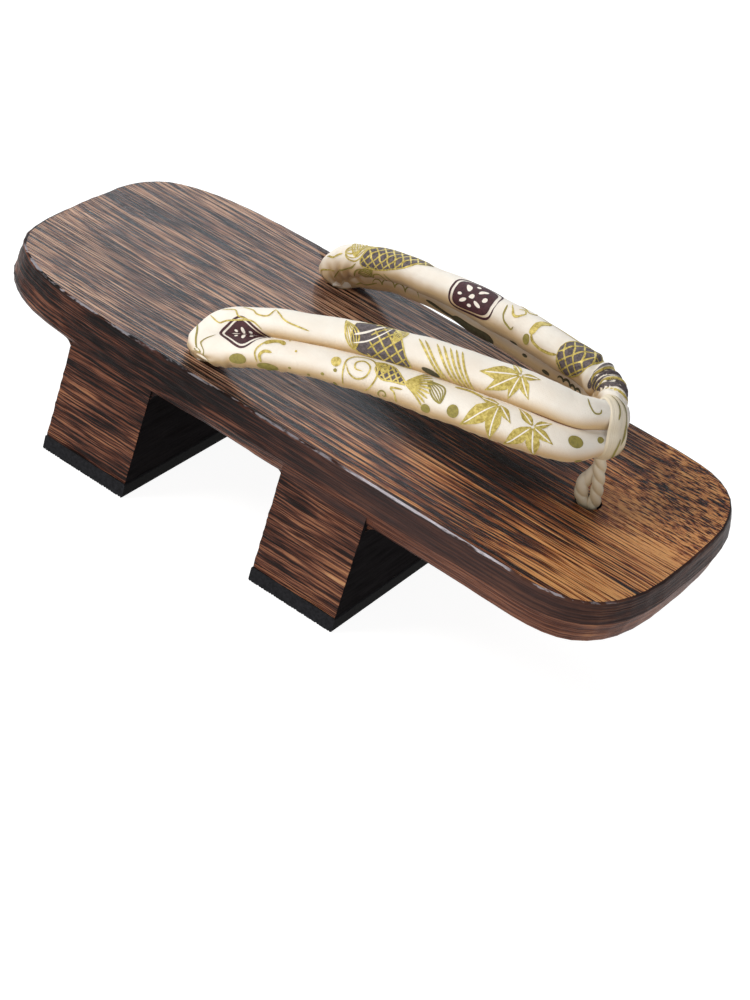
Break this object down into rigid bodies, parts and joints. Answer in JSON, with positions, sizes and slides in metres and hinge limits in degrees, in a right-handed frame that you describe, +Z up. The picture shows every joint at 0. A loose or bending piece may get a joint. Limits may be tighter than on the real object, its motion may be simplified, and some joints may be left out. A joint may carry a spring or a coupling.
{
  "type": "geta sandal",
  "caption": "Wooden thong sandal: a flat burnt-grain deck raised on cross teeth with rubber treads, held on the foot by a padded strap and a toe cord.",
  "frame": {"origin": "on the ground under the treads, midway along and across the sandal", "axes": "+X towards the toe, +Z up, so the deck's long edges run along X"},
  "size_m": [0.2748, 0.118, 0.1057],
  "materials": {
    "burnt_wood": "burnt open grain under semi-gloss lacquer",
    "rear_rubber": "matt black ribbed rubber",
    "front_rubber": "matt black ribbed rubber",
    "printed_cotton": "cream printed cotton over soft filling",
    "cream_cotton": "plain folded cotton"
  },
  "bodies": {
    "root": {"deck": "burnt_wood", "rear_tread": "rear_rubber", "front_tread": "front_rubber", "strap": "printed_cotton", "toe_cord": "cream_cotton"}
  },
  "joints": []
}
